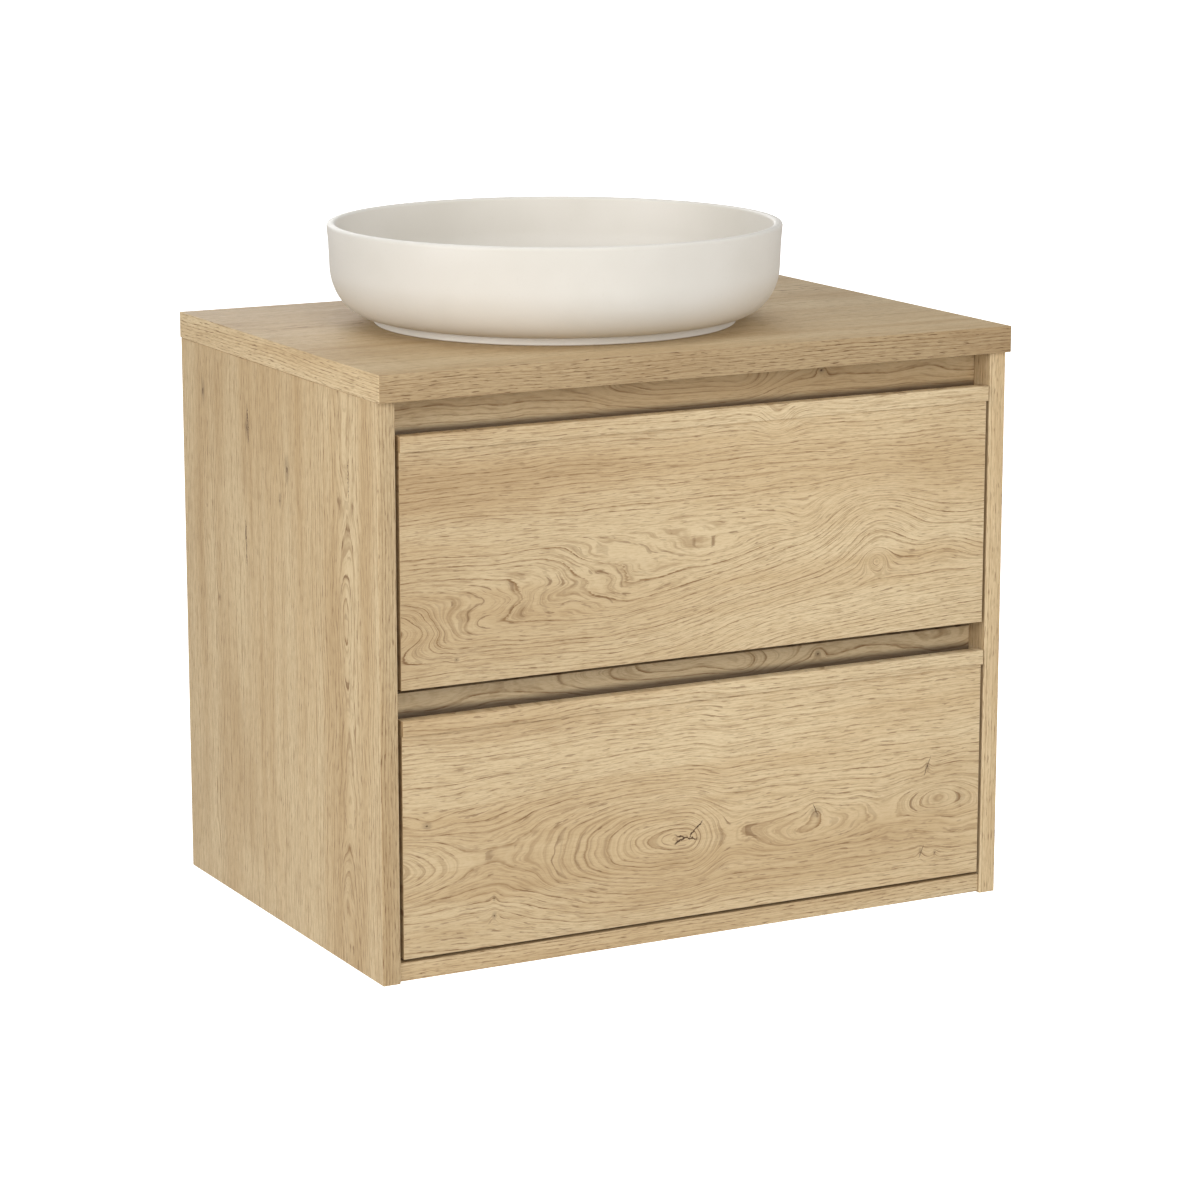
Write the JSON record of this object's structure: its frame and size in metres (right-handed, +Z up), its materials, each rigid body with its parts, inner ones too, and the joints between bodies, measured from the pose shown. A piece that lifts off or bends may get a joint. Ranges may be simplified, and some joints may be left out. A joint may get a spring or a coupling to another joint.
{
  "type": "vessel sink on vanity",
  "caption": "Wall-hung oak bathroom vanity with two finger-pull drawers, an oak worktop and a round ceramic vessel basin, with runners, hangers, waste and bottle trap.",
  "frame": {"origin": "middle of the rear face of the lower back rail, on the wall plane and on the cabinet's centre line", "axes": "+X to the right of a person facing the unit, +Y into the wall, so the drawers open along -Y, +Z up"},
  "size_m": [0.602, 0.421, 0.5966],
  "materials": {
    "oak": "matt light oak decor with horizontal grain on fronts and vertical grain on side panels",
    "oak_rail": "matt light oak decor, plainer grain",
    "drawer_board": "matt pale melamine faced board",
    "ceramic": "warm off-white satin glaze",
    "zinc_steel": "zinc plated sheet steel",
    "chrome": "bright chrome plate",
    "white_plastic": "satin white moulded plastic",
    "seal_rubber": "matt soft rubber"
  },
  "bodies": {
    "cabinet": {"side_panel_left": "oak", "side_panel_right": "oak", "bottom_panel": "oak", "front_rail_top": "oak_rail", "front_rail_middle": "oak_rail", "back_rail_upper": "oak_rail", "back_rail_lower": "oak_rail", "worktop": "oak", "hanger_left": "zinc_steel", "hanger_right": "zinc_steel", "wall_plate_left": "zinc_steel", "wall_plate_right": "zinc_steel", "upper_runner_cabinet_left": "zinc_steel", "upper_runner_cabinet_right": "zinc_steel", "lower_runner_cabinet_left": "zinc_steel", "lower_runner_cabinet_right": "zinc_steel", "basin": "ceramic", "waste_body": "chrome", "waste_seal": "seal_rubber", "waste_lock_nut": "white_plastic", "trap_dip_tube": "white_plastic", "trap_tail_nut": "white_plastic", "trap_body": "white_plastic", "trap_cup": "white_plastic", "outlet_pipe": "white_plastic", "outlet_nut": "white_plastic", "wall_rose": "chrome"},
    "upper_drawer": {"upper_drawer_front": "oak", "upper_grip_strip": "oak", "upper_drawer_side_left": "drawer_board", "upper_drawer_side_right": "drawer_board", "upper_drawer_back_left": "drawer_board", "upper_drawer_back_right": "drawer_board", "trap_recess_wall_left": "white_plastic", "trap_recess_wall_right": "white_plastic", "trap_recess_wall_front": "white_plastic", "upper_drawer_bottom": "drawer_board", "upper_runner_drawer_left": "zinc_steel", "upper_runner_drawer_right": "zinc_steel"},
    "lower_drawer": {"lower_drawer_front": "oak", "lower_grip_strip": "oak", "lower_drawer_side_left": "drawer_board", "lower_drawer_side_right": "drawer_board", "lower_drawer_back": "drawer_board", "lower_drawer_bottom": "drawer_board", "lower_runner_drawer_left": "zinc_steel", "lower_runner_drawer_right": "zinc_steel"},
    "upper_runner_middles": {"upper_runner_middle_left": "zinc_steel", "upper_runner_middle_right": "zinc_steel"},
    "lower_runner_middles": {"lower_runner_middle_left": "zinc_steel", "lower_runner_middle_right": "zinc_steel"},
    "plug": {"plug_cap": "chrome", "plug_stem": "chrome"}
  },
  "joints": [
    {"name": "upper_drawer_slide", "type": "slide", "parent": "cabinet", "child": "upper_drawer", "axis": [0, -1, 0], "range_m": [0, 0.34]},
    {"name": "lower_drawer_slide", "type": "slide", "parent": "cabinet", "child": "lower_drawer", "axis": [0, -1, 0], "range_m": [0, 0.34]},
    {"name": "upper_middles_slide", "type": "slide", "parent": "cabinet", "child": "upper_runner_middles", "axis": [0, -1, 0], "range_m": [0, 0.172]},
    {"name": "lower_middles_slide", "type": "slide", "parent": "cabinet", "child": "lower_runner_middles", "axis": [0, -1, 0], "range_m": [0, 0.172]},
    {"name": "plug_lift", "type": "slide", "parent": "cabinet", "child": "plug", "axis": [0, 0, 1], "range_m": [0, 0.006]}
  ],
  "couplings": [
    {"joint": "upper_middles_slide", "follows": "upper_drawer_slide", "ratio": 0.5},
    {"joint": "lower_middles_slide", "follows": "lower_drawer_slide", "ratio": 0.5}
  ]
}
